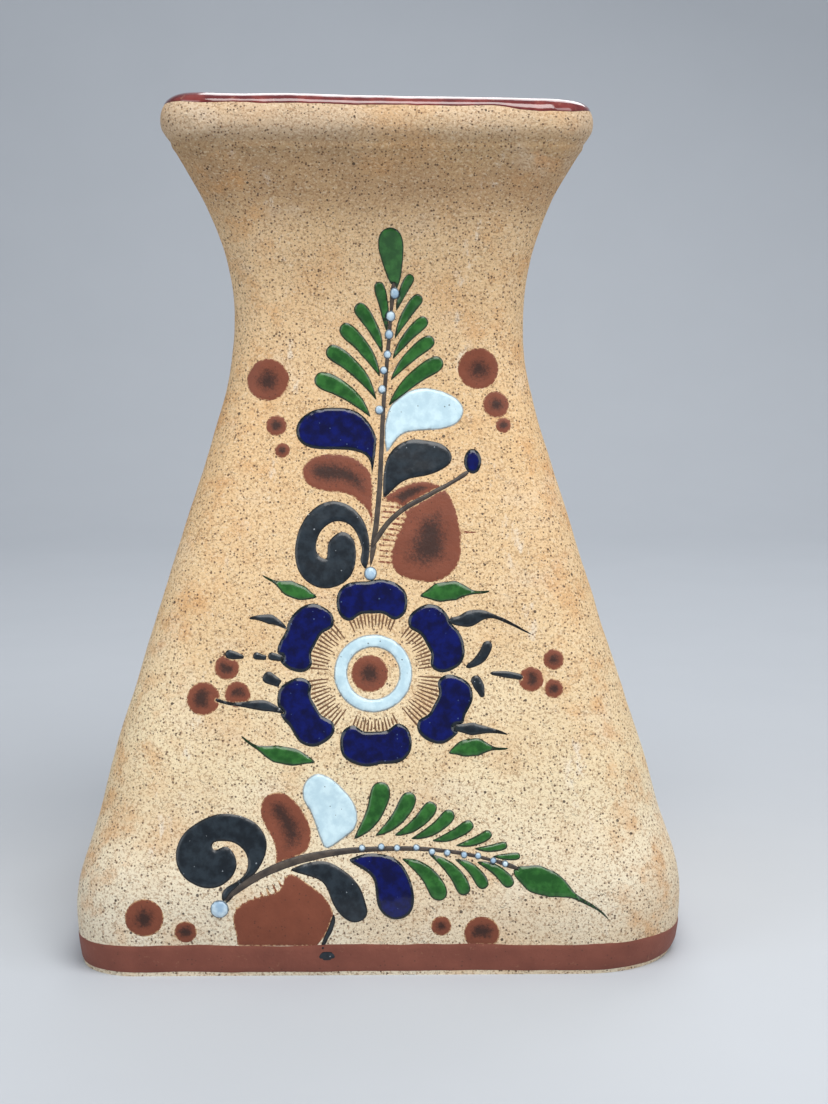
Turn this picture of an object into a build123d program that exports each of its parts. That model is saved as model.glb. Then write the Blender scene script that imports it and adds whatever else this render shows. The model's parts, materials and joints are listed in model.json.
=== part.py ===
from build123d import *

import os
from math import atan2, ceil, cos, hypot, radians, sin, sqrt

# A four-sided sandstone flower vase, built the way a potter builds one: four leaning clay slabs round a
# floor slab, a rolled coil as the lip, thin glaze over the lip and the inside, a slip band round the foot,
# and brushed enamel that stands a little proud of the bare clay.
#
# Millimetres. +Z is up, the front faces -Y, and the origin is the middle of the foot, on the table.

# ---- Driving dimensions -------------------------------------------------------------------------------
HEIGHT = 265.0
FOOT_HALF = 91.8
BELLY_HALF = 93.3
BEND_HALF = 82.6
SHOULDER_HALF = 49.8
BELLY_Z = 9.8
BEND_Z = 62.0
SHOULDER_Z = 168.0
THROAT_Z = 249.0
NECK_RADIUS = 92.0
NECK_SECTIONS = 7

WALL = 6.0
FLOOR = 7.0

ENAMEL = 0.6
SLIP = 0.3
GLAZE = 0.4
BAND_LOW = 1.3

# Before a mark is thickened, its curved edges are cut into pieces no longer than this. A side face that runs
# all the way round a mark measures a volume up to a quarter wrong.
EDGE_LENGTH = 6.0

# Scraps of a brush mark smaller than this, in square millimetres, are dropped.
SLIVER = 0.15

# Corner radii in plan, front-left, front-right, back-right, back-left. The foot is uneven, as the slabs were
# rounded over by hand; from the shoulder up the four are alike.
FOOT_CORNERS = (18.0, 30.0, 18.0, 30.0)
SHOULDER_CORNER = 12.0
THROAT_CORNER = 14.0

BIG = 400.0


# ---- Wall profile -------------------------------------------------------------------------------------
# Each slab is flat from the foot to the belly, from the belly to the bend and from the bend to the shoulder.
# Above the shoulder it curves out to the throat in one arc, tangent to the flat below it.
FLATS = [(0.0, FOOT_HALF), (BELLY_Z, BELLY_HALF), (BEND_Z, BEND_HALF), (SHOULDER_Z, SHOULDER_HALF)]
LEAN = atan2(BEND_HALF - SHOULDER_HALF, SHOULDER_Z - BEND_Z)
WAIST_Z = SHOULDER_Z + NECK_RADIUS * sin(LEAN)
WAIST_HALF = SHOULDER_HALF - NECK_RADIUS * (1 - cos(LEAN))


def half_width(z):
    """Outside half width of the vase at height z."""
    if z > SHOULDER_Z:
        return WAIST_HALF + NECK_RADIUS - sqrt(NECK_RADIUS**2 - (z - WAIST_Z) ** 2)
    for (z0, a0), (z1, a1) in zip(FLATS, FLATS[1:]):
        if z <= z1:
            return a0 + (a1 - a0) * (z - z0) / (z1 - z0)


THROAT_HALF = half_width(THROAT_Z)

# The lip coil's outline: distance outward from the middle of the wall, and height.
LIP_PATH_HALF = THROAT_HALF - WALL / 2
LIP_PATH_CORNER = THROAT_CORNER - WALL / 2
LIP_BULGE = (5.6, 254.8)
LIP_EDGE = (5.2, 261.4)
LIP_APEX = (0.4, HEIGHT - GLAZE)
LIP_INNER = (-5.0, 258.0)
LIP_HOLLOW = (-4.5, 253.0)


# ---- Clay body ----------------------------------------------------------------------------------------
def corner_radii(z):
    """The four corner radii of the outside at height z."""
    if z <= SHOULDER_Z:
        return [foot + (SHOULDER_CORNER - foot) * z / SHOULDER_Z for foot in FOOT_CORNERS]
    share = (z - SHOULDER_Z) / (THROAT_Z - SHOULDER_Z)
    return [SHOULDER_CORNER + (THROAT_CORNER - SHOULDER_CORNER) * share] * 4


def rounded_square(half, radii, z):
    """A square wire at height z with its own radius on each corner, starting at the front-left corner."""
    signs = [(-1, -1), (1, -1), (1, 1), (-1, 1)]
    arcs = []
    for (sx, sy), radius in zip(signs, radii):
        centre = Vector(sx * (half - radius), sy * (half - radius), z)
        along_x, along_y = Vector(sx * radius, 0, 0), Vector(0, sy * radius, 0)
        first, last = (along_x, along_y) if sx * sy > 0 else (along_y, along_x)
        middle = centre + (first + last) * sqrt(0.5)
        arcs.append((centre + first, middle, centre + last))
    edges = []
    for i, (start, middle, end) in enumerate(arcs):
        edges.append(Edge.make_three_point_arc(start, middle, end))
        edges.append(Edge.make_line(end, arcs[(i + 1) % 4][0]))
    return Wire(edges)


def section(z, offset):
    """The outside's wire at height z, moved out by offset."""
    return rounded_square(half_width(z) + offset, [max(r + offset, 2.0) for r in corner_radii(z)], z)


def body(offset=0.0):
    """The outside form as a solid, every face moved out by offset."""
    step = (THROAT_Z - SHOULDER_Z) / (NECK_SECTIONS - 1)
    flats = Solid.make_loft([section(z, offset) for z, _ in FLATS], ruled=True)
    neck = Solid.make_loft([section(SHOULDER_Z + i * step, offset) for i in range(NECK_SECTIONS)])
    return flats + neck


def between(low, high):
    """A wide flat block, to cut at two heights."""
    return Pos(0, 0, (low + high) / 2) * Box(BIG, BIG, high - low)


def wedge(turn):
    """The quarter of space in front of both diagonals, turned about Z, so that the slabs meet in mitres."""
    face = make_face(Polyline((0, 0), (-BIG, -BIG), (BIG, -BIG), close=True))
    return Rot(0, 0, turn) * extrude(face, HEIGHT)


def lip_path():
    """The middle line of the lip coil, starting at the middle of the front."""
    half = LIP_PATH_HALF
    square = rounded_square(half, [LIP_PATH_CORNER] * 4, 0)
    start = Vector(0, -half, 0)
    others = []
    for edge in square.edges():
        if edge.center().Y > -half + 0.001:
            others.append(edge)
        else:
            ends = sorted([edge.position_at(0), edge.position_at(1)], key=lambda end: end.X)
    return Wire([Edge.make_line(start, ends[1]), *others, Edge.make_line(ends[0], start)])


def crown(side, grow=0.0):
    """The arc from the lip's apex, level there, down to a point on one side, moved outward by grow."""
    start, end = Vector(*LIP_APEX), Vector(*side)
    across, drop = end.X - start.X, start.Y - end.Y
    radius = (across**2 + drop**2) / (2 * drop)
    centre = start - Vector(0, radius)
    middle = centre + (start + end - centre * 2).normalized() * radius
    return ThreePointArc(*[centre + (point - centre) * (1 + grow / radius) for point in (start, middle, end)])


def lip_section():
    """The lip coil's outline as a face, at the front of the path."""
    low_out, low_in = (WALL / 2, THROAT_Z), (-WALL / 2, THROAT_Z)
    bulge = ThreePointArc(low_out, LIP_BULGE, LIP_EDGE)
    hollow = ThreePointArc(LIP_INNER, LIP_HOLLOW, low_in)
    return make_face(Curve() + [bulge, crown(LIP_EDGE), crown(LIP_INNER), hollow, Line(low_in, low_out)])


def swept_round_lip(face):
    """Carries a lip outline round the mouth."""
    plane = Plane(origin=(0, -LIP_PATH_HALF, 0), x_dir=(0, -1, 0), z_dir=(-1, 0, 0))
    return sweep(plane * face, path=lip_path(), transition=Transition.RIGHT)


def rim_glaze_section():
    """Glaze over the crown of the lip, from its outside edge to its inside edge."""
    under = [crown(side) for side in (LIP_EDGE, LIP_INNER)]
    over = [crown(side, GLAZE) for side in (LIP_EDGE, LIP_INNER)]
    ends = [Line(low @ 1, high @ 1) for low, high in zip(under, over)]
    return make_face(Curve() + under + over + ends)


# ---- Wall coordinates -----------------------------------------------------------------------------------
# A mark is given by x and by its height z, as seen from the front. It is drawn on the flat that it lies on,
# in x and in distance up that flat. The neck's marks are drawn on the plane of the top flat.
def flat_below(z):
    """The bottom corner (height, half width) and the slope angle of the flat that height z lies on."""
    for (z0, a0), (z1, a1) in zip(FLATS, FLATS[1:]):
        if z <= z1 or z1 == SHOULDER_Z:
            return z0, a0, atan2(a0 - a1, z1 - z0)


def up(z):
    """Distance up the wall of the point at height z, measured from the belly edge."""
    z0, a0, lean = flat_below(z)
    below = 0.0 if z0 <= BELLY_Z else up(z0)
    if z0 < BELLY_Z:
        return (z - BELLY_Z) / cos(lean)
    return below + (z - z0) * cos(lean) + (a0 - half_width(z)) * sin(lean)


def on_wall(point):
    """A point's place in wall coordinates."""
    return (point[0], up(point[1]))


# ---- Brush marks ----------------------------------------------------------------------------------------
def blob(points):
    """A closed smooth outline through its points."""
    return make_face(Spline(*[on_wall(p) for p in points], periodic=True))


def dab(x, z, radius, tall=1.0):
    """A round fingertip mark."""
    shape = Circle(radius) if tall == 1.0 else Ellipse(radius, radius * tall)
    return Pos(*on_wall((x, z))) * shape


def wedge_tick(start, end, thin, thick):
    """A short straight tick between two points in wall coordinates, wider at its end."""
    a, b = Vector(*start), Vector(*end)
    across = Vector(a.Y - b.Y, b.X - a.X).normalized() / 2
    corners = [a + across * thin, b + across * thick, b - across * thick, a - across * thin]
    return make_face(Polyline(*corners, close=True))


def stroke(points, widths, steps=5):
    """A brush mark along a smooth line. Its width runs through widths, and the far end is rounded."""
    line = Spline(*[on_wall(p) for p in points])
    length = line.length
    cap = min(widths[-1] / 2, length / 3)
    sides = ([], [])
    places = [i / steps * (length - cap) for i in range(1, steps + 1)]
    for place in places + [length - 0.3 * cap]:
        share = place / length
        spot = share * (len(widths) - 1)
        i = min(int(spot), len(widths) - 2)
        width = widths[i] + (widths[i + 1] - widths[i]) * (spot - i)
        over = max(0.0, (place - (length - cap)) / cap)
        half = width / 2 * sqrt(1 - over * over)
        at, way = line.position_at(share), line.tangent_at(share)
        across = Vector(-way.Y, way.X) * half
        sides[0].append(at + across)
        sides[1].append(at - across)
    start, end = line.position_at(0), line.position_at(1)
    return make_face(Spline(start, *sides[0], end, *reversed(sides[1]), start))


def leaf(root, tip, width, bend=0.0):
    """A one-stroke leaf: thin at the root, round at the tip, bowed sideways by bend."""
    dx, dz = tip[0] - root[0], tip[1] - root[1]
    length = hypot(dx, dz)
    middle = (root[0] + dx / 2 - dz / length * bend, root[1] + dz / 2 + dx / length * bend)
    return stroke([root, middle, tip], [0.3 * width, 0.55 * width, 0.9 * width, width, width], steps=4)


def polar(centre, angle, radius):
    """A point at an angle in degrees and a radius from centre."""
    return (centre[0] + radius * cos(radians(angle)), centre[1] + radius * sin(radians(angle)))


# ---- The flower -----------------------------------------------------------------------------------------
FLOWER = (-1.8, 89.6)
FLOWER_ON_WALL = on_wall(FLOWER)
RING_OUT = 12.0
RING_IN = 8.0
EYE = 5.7
PETALS = [(91, 22.8), (29, 23.0), (-27, 25.3), (-88, 22.2), (-150, 24.6), (152, 24.2)]
PETAL_HALF = [(0, 5.9), (6.4, 5.5), (10.4, 2.2), (10.9, -1.6), (9.4, -5.4), (6.6, -6.4), (3.8, -4.7)]
PETAL_DIP = (0, -4.4)
FRINGE_COUNT = 13
FRINGE_SPREAD = 23.0
FRINGE_WIDTHS = (0.3, 0.75)


def petal(angle, reach):
    """One kidney-shaped petal, its middle at reach from the flower's centre."""
    outline = PETAL_HALF + [PETAL_DIP] + [(-x, z) for x, z in reversed(PETAL_HALF[1:])]
    shape = make_face(Spline(*outline, periodic=True))
    return Pos(*polar(FLOWER_ON_WALL, angle, reach)) * Rot(0, 0, angle - 90) * shape


def fringe(angle, reach):
    """Fine lines combed from a petal's inner edge towards the ring."""
    lines = []
    for i in range(FRINGE_COUNT):
        turn = angle + FRINGE_SPREAD * (2 * i / (FRINGE_COUNT - 1) - 1)
        inner = polar(FLOWER_ON_WALL, turn, RING_OUT + 1.5 + 0.5 * (i % 3))
        outer = polar(FLOWER_ON_WALL, turn, reach - 3.6)
        lines.append(wedge_tick(inner, outer, *FRINGE_WIDTHS))
    return lines


# ---- The upper spray --------------------------------------------------------------------------------------
UPPER_STEM = [(-2.6, 121.0), (-1.4, 129.2), (0.0, 141.3), (1.3, 165.7), (3.0, 187.3), (4.8, 208.0)]
TWIG = [(-2.2, 126.5), (2.0, 133.2), (6.7, 137.7), (12.9, 141.3), (20.5, 145.2), (27.9, 149.8)]
UPPER_LEAVES = [
    ((5.5, 205.5), (3.3, 225.0), 7.8, 0.0),
    ((-2.4, 166.3), (-20.0, 178.4), 5.6, -2.0),
    ((-0.6, 171.5), (-16.2, 187.4), 4.9, -2.0),
    ((0.6, 178.5), (-11.8, 194.6), 4.6, -1.5),
    ((1.3, 186.0), (-7.0, 201.2), 4.2, -1.2),
    ((2.7, 191.9), (-0.2, 208.2), 3.3, -0.6),
    ((3.0, 169.5), (20.2, 183.8), 4.9, 1.6),
    ((3.7, 177.4), (17.4, 190.6), 4.2, 1.2),
    ((4.3, 184.0), (15.3, 196.8), 3.7, 1.0),
    ((5.0, 190.4), (13.4, 204.0), 3.5, 0.8),
    ((5.6, 199.0), (10.6, 210.4), 3.0, 0.6),
]
UPPER_PEARLS = [
    (5.1, 204.7, 1.5),
    (3.9, 197.6, 1.5),
    (3.3, 191.9, 1.4),
    (2.8, 185.7, 1.25),
    (1.6, 180.8, 1.2),
    (1.1, 174.9, 1.3),
    (0.3, 168.6, 1.4),
    (-2.6, 119.1, 2.0),
]
UPPER_COBALT = [
    (-2.2, 150.0),
    (-4.8, 155.2),
    (-10.5, 156.4),
    (-18.5, 156.7),
    (-24.0, 158.4),
    (-25.7, 163.0),
    (-22.8, 167.2),
    (-14.0, 169.3),
    (-5.6, 167.4),
    (-1.4, 162.0),
    (-1.0, 155.5),
]
UPPER_WHITE = [
    (2.3, 156.2),
    (1.9, 162.0),
    (5.0, 171.4),
    (9.9, 174.6),
    (16.1, 175.3),
    (22.4, 173.4),
    (26.4, 169.6),
    (25.8, 165.8),
    (21.6, 163.2),
    (15.0, 162.4),
    (9.0, 161.8),
    (5.0, 158.8),
]
UPPER_CHARCOAL = [
    (1.4, 142.4),
    (1.6, 149.6),
    (4.0, 156.0),
    (9.5, 159.4),
    (15.5, 159.2),
    (21.4, 157.0),
    (22.8, 153.6),
    (19.4, 150.2),
    (11.5, 147.9),
    (5.4, 145.2),
]
UPPER_RUST = [
    (-2.3, 134.8),
    (-5.4, 140.4),
    (-10.0, 143.2),
    (-17.6, 144.2),
    (-22.6, 146.8),
    (-23.8, 150.4),
    (-21.0, 153.8),
    (-14.0, 155.2),
    (-7.0, 153.6),
    (-3.0, 150.0),
    (-2.0, 142.6),
]
UPPER_HEART = [
    (1.6, 142.3),
    (6.0, 144.6),
    (13.0, 146.8),
    (19.4, 145.2),
    (23.6, 139.0),
    (25.3, 129.6),
    (24.2, 121.6),
    (19.0, 117.2),
    (11.5, 117.0),
    (4.6, 120.6),
    (4.2, 125.4),
    (6.0, 130.4),
    (8.4, 136.0),
    (5.4, 140.2),
]
HEART_SPIKE = [(25.0, 131.6), (30.2, 131.4)]
UPPER_HATCH_LOW = 122.0
UPPER_HATCH_HIGH = 140.4
UPPER_HATCH_LINES = 12
UPPER_SCROLL = [
    (-3.9, 120.6),
    (-2.9, 128.6),
    (-4.9, 135.2),
    (-9.2, 139.6),
    (-15.0, 140.9),
    (-21.0, 137.9),
    (-25.0, 131.4),
    (-25.9, 124.4),
    (-23.6, 118.2),
    (-18.4, 114.9),
    (-12.6, 115.4),
    (-8.6, 118.6),
    (-7.2, 122.6),
    (-7.2, 126.8),
    (-8.6, 130.4),
    (-11.2, 131.6),
    (-14.2, 130.2),
    (-15.9, 126.8),
    (-16.5, 123.6),
    (-18.3, 124.4),
    (-19.3, 128.2),
    (-17.4, 132.4),
    (-12.8, 134.8),
    (-8.8, 133.6),
    (-6.4, 130.0),
    (-5.3, 125.8),
    (-4.9, 121.2),
]
BUD = (29.3, 152.9, 2.7, 1.45)
UPPER_DOTS = [
    (-34.6, 178.0, 6.6),
    (-31.9, 163.9, 3.3),
    (-30.0, 156.4, 2.4),
    (31.3, 181.4, 6.4),
    (36.8, 170.3, 4.2),
    (39.1, 164.0, 2.5),
]


def upper_hatch():
    """Rust lines combed from the heart-shaped leaf towards the stem."""
    rise = (UPPER_HATCH_HIGH - UPPER_HATCH_LOW) / (UPPER_HATCH_LINES - 1)
    lines = []
    for i in range(UPPER_HATCH_LINES):
        z = UPPER_HATCH_LOW + i * rise
        near = -0.4 + 1.2 * i / UPPER_HATCH_LINES
        lines.append(wedge_tick(on_wall((near, z + 0.8)), on_wall((8.6, z)), 0.4, 1.1))
    return lines


# ---- Marks beside the flower ------------------------------------------------------------------------------
SIDE_LEAVES = [
    ([(-36.2, 118.8), (-32.5, 116.8), (-28.8, 115.2), (-25.2, 113.8), (-19.2, 112.2)], 1.0),
    ([(34.4, 114.0), (28.6, 113.5), (25.2, 113.9), (20.6, 113.7), (12.8, 112.4)], 1.25),
    ([(-42.3, 71.6), (-37.0, 68.0), (-31.6, 66.2), (-26.8, 65.3), (-19.7, 63.7)], 1.1),
    ([(39.5, 67.5), (34.3, 67.6), (31.0, 67.9), (27.0, 67.7), (21.2, 66.2)], 1.1),
]
SIDE_LEAF_WIDTHS = [0.5, 0.9, 4.9, 4.9, 0.5]
TICKS = [
    ([(-28.2, 102.6), (-32.4, 105.2), (-39.8, 105.8)], [0.6, 3.2, 0.5]),
    ([(-41.4, 94.4), (-45.0, 95.1), (-47.2, 95.6)], [1.0, 2.6, 2.8]),
    ([(-34.6, 94.2), (-38.6, 95.0)], [1.4, 2.6]),
    ([(-29.6, 94.0), (-34.0, 94.9)], [1.8, 2.7]),
    ([(-30.4, 86.6), (-35.4, 89.2)], [2.4, 4.4]),
    ([(-29.0, 77.8), (-35.0, 80.2), (-42.4, 80.6), (-50.0, 82.2)], [0.8, 3.6, 1.2, 0.8]),
    ([(47.4, 100.7), (39.0, 104.9), (31.0, 106.6), (27.8, 105.6), (21.6, 105.4)], [0.4, 0.9, 1.3, 5.4, 1.4]),
    ([(26.6, 91.3), (30.8, 93.6), (33.6, 99.0)], [1.2, 3.2, 3.0]),
    ([(31.6, 82.4), (30.8, 85.2), (28.8, 88.6)], [1.2, 3.4, 3.2]),
    ([(39.6, 71.4), (33.6, 72.8), (28.0, 73.2), (22.6, 73.8)], [0.4, 1.6, 4.0, 1.6]),
    ([(34.0, 89.5), (38.4, 89.2), (44.0, 88.2)], [1.0, 2.2, 1.8]),
]
BERRIES = [
    (46.6, 87.8, 3.85),
    (53.6, 93.6, 3.25),
    (53.5, 85.0, 2.95),
    (-46.6, 91.5, 3.85),
    (-53.7, 82.4, 5.1),
    (-43.3, 83.6, 4.0),
]


# ---- The lower spray --------------------------------------------------------------------------------------
LOWER_STEM = [
    (-47.0, 23.2),
    (-40.0, 28.8),
    (-29.0, 34.0),
    (-14.7, 37.3),
    (3.0, 38.5),
    (21.7, 37.5),
    (41.8, 32.6),
]
ROOT_PEARL = (-48.3, 21.2, 2.8)
LOWER_LEAVES = [
    ((-8.0, 41.1), (0.6, 57.9), 6.0, -2.2),
    ((-1.6, 42.0), (9.6, 54.8), 4.9, -1.9),
    ((4.2, 42.2), (16.4, 51.8), 4.3, -1.7),
    ((9.2, 41.2), (22.2, 49.3), 3.9, -1.5),
    ((15.6, 40.6), (28.2, 46.0), 3.5, -1.1),
    ((22.8, 39.2), (33.9, 43.0), 2.9, -0.8),
    ((28.4, 38.4), (38.7, 39.4), 2.5, -0.5),
    ((34.0, 36.2), (42.6, 36.3), 2.2, -0.3),
    ((6.6, 35.6), (18.6, 23.4), 5.4, 2.4),
    ((15.0, 36.7), (26.0, 25.0), 4.3, 2.0),
    ((22.6, 35.4), (31.8, 26.8), 3.8, 1.6),
    ((29.2, 34.6), (39.8, 27.4), 3.7, 1.4),
]
END_LEAF = [(69.4, 17.0), (65.5, 20.9), (59.5, 24.2), (55.2, 26.6), (50.0, 28.6), (40.6, 32.4)]
END_LEAF_WIDTHS = [0.3, 0.9, 1.6, 7.4, 8.6, 2.0]
LOWER_PEARLS = [
    (-5.3, 38.7),
    (0.5, 39.0),
    (5.3, 38.7),
    (11.1, 38.7),
    (15.9, 37.5),
    (20.5, 37.2),
    (25.6, 36.6),
    (29.8, 36.3),
    (34.4, 34.9),
    (38.0, 34.0),
]
LOWER_PEARL_RADIUS = 1.05
LOWER_HEART = [
    (-43.6, 20.4),
    (-36.6, 24.6),
    (-29.6, 27.6),
    (-27.6, 31.2),
    (-22.6, 29.2),
    (-17.4, 25.4),
    (-14.2, 20.4),
    (-14.4, 15.0),
    (-18.4, 10.6),
    (-20.4, 7.0),
    (-42.6, 7.0),
    (-43.4, 13.6),
]
LOWER_HATCH_LINES = 9
LOWER_HATCH_START = (-43.4, 22.0)
LOWER_HATCH_END = (-28.8, 31.0)
DRIP = [(-13.9, 19.6), (-14.6, 15.6), (-16.4, 11.6), (-17.3, 8.4)]
DRIP_WIDTHS = [1.2, 1.6, 1.1]
DRIP_END = (-16.0, 6.6, 2.8, 0.62)
LOWER_RUST = [
    (-31.8, 34.0),
    (-31.4, 38.6),
    (-33.6, 43.6),
    (-36.0, 49.0),
    (-34.8, 53.4),
    (-30.8, 55.0),
    (-26.6, 53.2),
    (-22.9, 48.8),
    (-20.8, 43.2),
    (-21.8, 38.6),
    (-26.0, 35.8),
]
LOWER_WHITE = [
    (-17.0, 39.4),
    (-18.8, 43.6),
    (-20.8, 49.0),
    (-23.2, 53.4),
    (-22.4, 58.2),
    (-18.6, 60.4),
    (-14.4, 58.8),
    (-10.0, 54.8),
    (-6.8, 49.0),
    (-7.4, 44.4),
    (-11.0, 41.4),
]
LOWER_CHARCOAL = [
    (-26.2, 33.0),
    (-21.6, 34.6),
    (-16.6, 35.0),
    (-11.2, 32.6),
    (-6.9, 28.8),
    (-4.2, 22.8),
    (-4.2, 18.4),
    (-7.2, 16.8),
    (-11.2, 18.6),
    (-14.6, 23.8),
    (-18.6, 29.8),
]
LOWER_COBALT = [
    (-8.6, 35.8),
    (-4.8, 37.0),
    (0.4, 37.0),
    (5.2, 35.4),
    (8.9, 30.6),
    (10.4, 24.6),
    (9.2, 19.6),
    (5.0, 17.6),
    (0.6, 19.8),
    (-1.2, 26.0),
    (-3.8, 31.8),
]
LOWER_SCROLL = [
    (-46.4, 22.4),
    (-40.0, 28.8),
    (-35.6, 34.4),
    (-34.2, 40.4),
    (-37.2, 45.6),
    (-42.6, 48.2),
    (-49.0, 48.6),
    (-55.2, 46.2),
    (-60.0, 42.0),
    (-61.6, 36.8),
    (-60.0, 31.8),
    (-55.8, 28.4),
    (-50.6, 27.4),
    (-45.8, 29.4),
    (-43.2, 33.6),
    (-44.2, 37.4),
    (-47.2, 39.2),
    (-50.2, 38.4),
    (-50.6, 39.6),
    (-47.4, 40.8),
    (-43.0, 39.8),
    (-39.9, 35.9),
    (-41.4, 30.6),
    (-47.4, 23.6),
]
LOWER_DOTS = [
    (-71.0, 18.6, 5.9),
    (-58.6, 14.2, 3.4),
    (18.6, 15.6, 3.1),
    (30.9, 13.2, 5.4),
]


def drip_sketch():
    """The run of dark enamel that leaves the lower spray and ends on the foot band."""
    x, z, radius, tall = DRIP_END
    return joined([stroke(DRIP, DRIP_WIDTHS), dab(x, z, radius, tall)])


def lower_hatch():
    """Rust teeth combed up from the lower heart-shaped leaf to its stem."""
    (x0, z0), (x1, z1) = LOWER_HATCH_START, LOWER_HATCH_END
    teeth = []
    for i in range(LOWER_HATCH_LINES):
        share = i / (LOWER_HATCH_LINES - 1)
        top = (x0 + (x1 - x0) * share, z0 + (z1 - z0) * share)
        root = (top[0] + 2.6, top[1] - 5.6)
        teeth.append(wedge_tick(on_wall(top), on_wall(root), 0.4, 1.2))
    return teeth


# ---- Painted panels: ordered bottom layer to top layer -----------------------------------------------------
def joined(shapes):
    """Fuses brush marks of one paint into one flat sketch."""
    return Sketch() + list(shapes)


def front_panel():
    """Each enamelled piece of the main panel as (name, paint, sketch), in painting order."""
    end_leaf = stroke(END_LEAF, END_LEAF_WIDTHS, steps=14)
    side_leaves = [
        stroke(line, [w * size for w in SIDE_LEAF_WIDTHS], steps=14) for line, size in SIDE_LEAVES
    ]
    bud_x, bud_z, bud_r, bud_tall = BUD
    spike = wedge_tick(on_wall(HEART_SPIKE[1]), on_wall(HEART_SPIKE[0]), 0.3, 1.0)
    return [
        ("upper_heart_leaf", "rust", joined([blob(UPPER_HEART), spike] + upper_hatch())),
        ("lower_heart_leaf", "rust", joined([blob(LOWER_HEART)] + lower_hatch())),
        ("rust_petals", "rust", joined([blob(UPPER_RUST), blob(LOWER_RUST)])),
        ("dots", "rust", joined([dab(*d) for d in UPPER_DOTS + LOWER_DOTS])),
        ("berries", "rust", joined([dab(*d) for d in BERRIES])),
        ("charcoal_petals", "charcoal", joined([blob(UPPER_CHARCOAL), blob(LOWER_CHARCOAL)])),
        ("upper_scroll", "charcoal", joined([blob(UPPER_SCROLL)])),
        ("lower_scroll", "charcoal", joined([blob(LOWER_SCROLL)])),
        ("cobalt_petals", "cobalt", joined([blob(UPPER_COBALT), blob(LOWER_COBALT)])),
        ("white_petals", "white", joined([blob(UPPER_WHITE), blob(LOWER_WHITE)])),
        ("flower_fringe", "umber", joined([line for p in PETALS for line in fringe(*p)])),
        ("flower_petals", "cobalt", joined([petal(*p) for p in PETALS])),
        ("flower_ring", "white", joined([dab(*FLOWER, RING_OUT)]) - joined([dab(*FLOWER, RING_IN)])),
        ("flower_eye", "rust", joined([dab(FLOWER[0] - 1.1, FLOWER[1], EYE)])),
        ("ticks", "charcoal", joined([stroke(*t, steps=10) for t in TICKS])),
        ("side_leaves", "green", joined(side_leaves)),
        ("upper_leaves", "green", joined([leaf(*one) for one in UPPER_LEAVES])),
        ("lower_leaves", "green", joined([leaf(*one) for one in LOWER_LEAVES] + [end_leaf])),
        ("upper_stem", "umber", joined([stroke(UPPER_STEM, [1.9, 1.5, 1.3, 1.1], steps=14)])),
        ("lower_stem", "umber", joined([stroke(LOWER_STEM, [1.6, 2.6, 1.6, 1.2, 1.0], steps=14)])),
        ("twig", "umber", joined([stroke(TWIG, [1.6, 1.6, 1.2], steps=10)])),
        ("drip", "charcoal", drip_sketch()),
        ("bud", "cobalt", joined([dab(bud_x, bud_z, bud_r, bud_tall)])),
        ("upper_pearls", "pearl", joined([dab(x, z, r, 1.1) for x, z, r in UPPER_PEARLS])),
        (
            "lower_pearls",
            "pearl",
            joined([dab(x, z, LOWER_PEARL_RADIUS) for x, z in LOWER_PEARLS] + [dab(*ROOT_PEARL)]),
        ),
    ]


def uncovered(panel):
    """Takes from each layer what a later layer covers, so that no two pieces share space."""
    left = []
    for i, (name, paint, sketch) in enumerate(panel):
        low, high = sketch.bounding_box().min, sketch.bounding_box().max
        for _, _, later in panel[i + 1 :]:
            box = later.bounding_box()
            if low.X < box.max.X and box.min.X < high.X and low.Y < box.max.Y and box.min.Y < high.Y:
                sketch = sketch - later
        left.append((name, paint, sketch))
    return left


def flat_plane(z):
    """The plane of the flat that height z lies on, with its origin at wall coordinate (0, 0)."""
    z0, a0, lean = flat_below(z)
    start = up(z0) if z0 >= BELLY_Z else up(0.0)
    rise = Vector(0, sin(lean), cos(lean))
    return Plane(origin=Vector(0, -a0, z0) - rise * start, x_dir=(1, 0, 0), z_dir=(0, -cos(lean), sin(lean)))


def strip(low, high):
    """The part of the wall plane between two distances up the wall."""
    return Pos(0, (low + high) / 2) * Rectangle(BIG, high - low)


def below_belly(sketch):
    """The part of a sketch that lies on the foot's flat."""
    return sketch & strip(-BELLY_Z * 2, 0)


def short_edged(face):
    """The same face with its long curved edges cut into short ones."""
    wires = []
    for wire in [face.outer_wire(), *face.inner_wires()]:
        edges = []
        for edge in wire.edges():
            pieces = ceil(edge.length / EDGE_LENGTH) if edge.geom_type == GeomType.BSPLINE else 1
            cuts = [i / pieces for i in range(pieces + 1)]
            edges += [edge.trim(low, high) for low, high in zip(cuts, cuts[1:])] if pieces > 1 else [edge]
        wires.append(Wire(edges))
    return Face(wires[0], wires[1:])


def thickened(plane, face, thickness):
    """A mark's solid on a plane, with its edges left as they are cut."""
    return plane * extrude(short_edged(face), thickness, dir=(0, 0, 1), clean=False)


def laid_on_wall(sketch, thickness, neck_skin):
    """Turns a flat sketch into solids that lie on the front wall."""
    solids = []
    if sketch.bounding_box().min.Y < 0:
        solids += [thickened(flat_plane(0), face, thickness) for face in below_belly(sketch).faces()]
        sketch = sketch & strip(0, BIG)
    for face in sketch.faces():
        if face.area < SLIVER:
            continue
        top = face.bounding_box().max.Y
        if top > up(SHOULDER_Z):
            reach = NECK_RADIUS / 3
            prism = thickened(flat_plane(THROAT_Z) * Pos(0, 0, -WALL / 2), face, reach)
            solids += (neck_skin & prism).solids()
        else:
            plane = flat_plane(BEND_Z if top < up(BEND_Z) else SHOULDER_Z)
            solids.append(thickened(plane, face, thickness))
    return [solid for shape in solids for solid in shape.solids()]


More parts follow.
